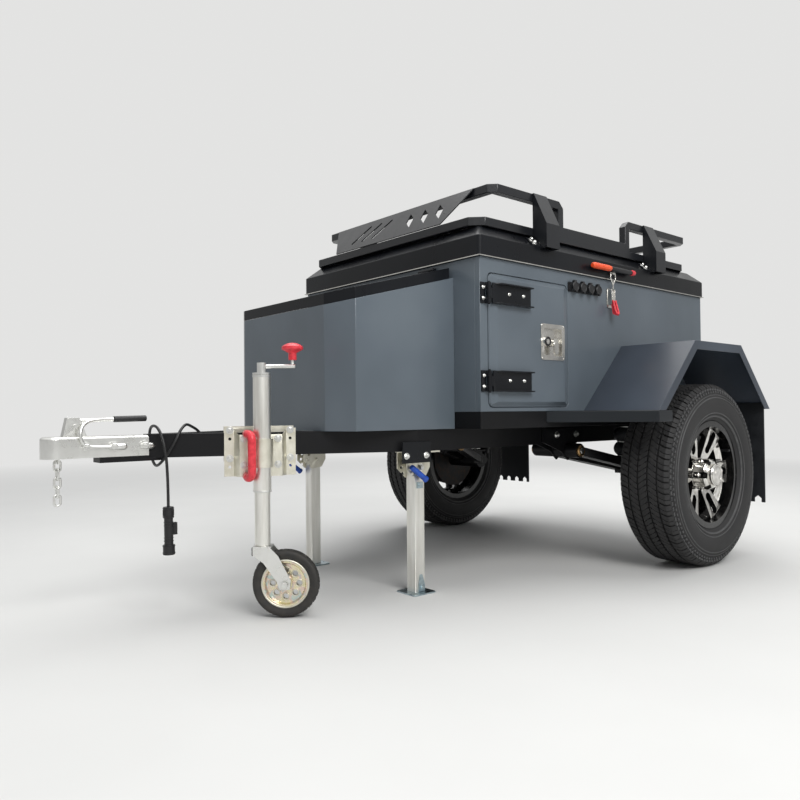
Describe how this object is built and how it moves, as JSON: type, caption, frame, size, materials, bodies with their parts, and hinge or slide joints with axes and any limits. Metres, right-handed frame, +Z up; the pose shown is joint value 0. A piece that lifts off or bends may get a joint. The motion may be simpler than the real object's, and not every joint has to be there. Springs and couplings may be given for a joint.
{
  "type": "off-road box camper trailer",
  "caption": "Small off-road camper trailer: black A-frame drawbar, slate-grey boxes, hinged lids with a roof rack, alloy wheels, jockey wheel and legs.",
  "frame": {"origin": "on the ground under the middle of the trailer's overall length and width", "axes": "+X towards the tail, -X towards the coupler, +Y the trailer's right side, +Z up"},
  "size_m": [2.869, 1.738, 1.47],
  "materials": {
    "grey_paint": "satin slate grey powder coat on sheet steel",
    "black_paint": "satin black powder coat",
    "black_steel": "satin black chassis paint",
    "zinc": "bright zinc plating",
    "yellow_zinc": "pale yellow passivated zinc",
    "stainless": "pressed stainless steel",
    "alloy": "black alloy with bright machined spoke faces",
    "cast_drum": "painted cast iron",
    "tyre": "matt tyre rubber",
    "flap_rubber": "matt moulded rubber",
    "cable_rubber": "satin cable sheath",
    "black_plastic": "matt moulded plastic",
    "red_plastic": "gloss dipped plastic",
    "lamp_red": "clear red lens plastic"
  },
  "bodies": {
    "trailer": {"drawbar_frame": "black_steel", "chassis_rails": "black_steel", "coupler_body": "zinc", "coupler_lever": "zinc", "safety_chain": "zinc", "cable": "cable_rubber", "cable_gland": "black_plastic", "cable_plug": "black_plastic", "front_box": "grey_paint", "body_left_side": "grey_paint", "body_right_side": "grey_paint", "body_front_wall": "grey_paint", "body_rear_frame": "grey_paint", "body_floor": "black_steel", "fender_left": "grey_paint", "fender_right": "grey_paint", "steps": "black_steel", "mud_flap_left": "flap_rubber", "mud_flap_right": "flap_rubber", "suspension_arm_left": "black_steel", "suspension_arm_right": "black_steel", "air_springs": "flap_rubber", "dampers": "zinc", "spring_towers": "black_steel", "pivot_mounts": "black_steel", "hub_left": "cast_drum", "hub_right": "cast_drum", "hinge_leaves": "black_paint", "socket_panel": "black_plastic", "lid_latch": "stainless", "tail_lamps": "lamp_red", "leg_brackets": "yellow_zinc", "jockey_bracket": "yellow_zinc", "jockey_tube": "zinc", "jockey_crank": "zinc", "jockey_grips": "red_plastic"},
    "wheel_left": {"tyre_left": "tyre", "rim_left": "alloy"},
    "wheel_right": {"tyre_right": "tyre", "rim_right": "alloy"},
    "door_left": {"door_left": "grey_paint", "door_left_fittings": "stainless"},
    "door_right": {"door_right": "grey_paint", "door_right_fittings": "stainless"},
    "main_lid": {"main_lid": "black_paint", "rack_frame": "black_paint", "rack_brackets": "black_paint", "rack_plate": "black_paint", "lid_fittings": "stainless"},
    "front_lid": {"front_lid": "black_paint"},
    "tailgate": {"tailgate": "grey_paint", "tailgate_fittings": "black_paint"},
    "jockey_slide": {"jockey_inner_tube": "zinc"},
    "jockey_fork": {"jockey_fork": "zinc"},
    "jockey_wheel": {"jockey_tyre": "tyre", "jockey_rim": "zinc"},
    "leg_left": {"leg_left": "zinc"},
    "leg_right": {"leg_right": "zinc"}
  },
  "joints": [
    {"name": "wheel_left_spin", "type": "hinge", "parent": "trailer", "child": "wheel_left", "pos_m": [0.9145, -0.735, 0.3745], "axis": [0, 1, 0], "continuous": true},
    {"name": "wheel_right_spin", "type": "hinge", "parent": "trailer", "child": "wheel_right", "pos_m": [0.9145, 0.735, 0.3745], "axis": [0, 1, 0], "continuous": true},
    {"name": "door_left_hinge", "type": "hinge", "parent": "trailer", "child": "door_left", "pos_m": [-0.1235, -0.554, 0.9], "axis": [0, 0, -1], "range_deg": [0, 115]},
    {"name": "door_right_hinge", "type": "hinge", "parent": "trailer", "child": "door_right", "pos_m": [-0.1235, 0.554, 0.9], "axis": [0, 0, 1], "range_deg": [0, 115]},
    {"name": "main_lid_hinge", "type": "hinge", "parent": "trailer", "child": "main_lid", "pos_m": [0.7145, 0.559, 1.183], "axis": [-1, 0, 0], "range_deg": [0, 55]},
    {"name": "front_lid_hinge", "type": "hinge", "parent": "trailer", "child": "front_lid", "pos_m": [-0.1675, 0, 1.16862], "axis": [0, 1, 0], "range_deg": [0, 75]},
    {"name": "tailgate_hinge", "type": "hinge", "parent": "trailer", "child": "tailgate", "pos_m": [1.4215, 0, 0.668], "axis": [0, 1, 0], "range_deg": [0, 90]},
    {"name": "jockey_wind", "type": "slide", "parent": "trailer", "child": "jockey_slide", "axis": [0, 0, 1], "range_m": [-0.06, 0.15]},
    {"name": "jockey_swivel", "type": "hinge", "parent": "jockey_slide", "child": "jockey_fork", "pos_m": [-0.8415, -0.235, 0.2], "axis": [0, 0, 1], "continuous": true},
    {"name": "jockey_wheel_spin", "type": "hinge", "parent": "jockey_fork", "child": "jockey_wheel", "pos_m": [-0.78523, -0.28306, 0.107], "axis": [0.6494, 0.7604, 0], "continuous": true},
    {"name": "leg_left_fold", "type": "hinge", "parent": "trailer", "child": "leg_left", "pos_m": [-0.2755, -0.328, 0.446], "axis": [0, -1, 0], "range_deg": [0, 90]},
    {"name": "leg_right_fold", "type": "hinge", "parent": "trailer", "child": "leg_right", "pos_m": [-0.2755, 0.328, 0.446], "axis": [0, -1, 0], "range_deg": [0, 90]}
  ]
}
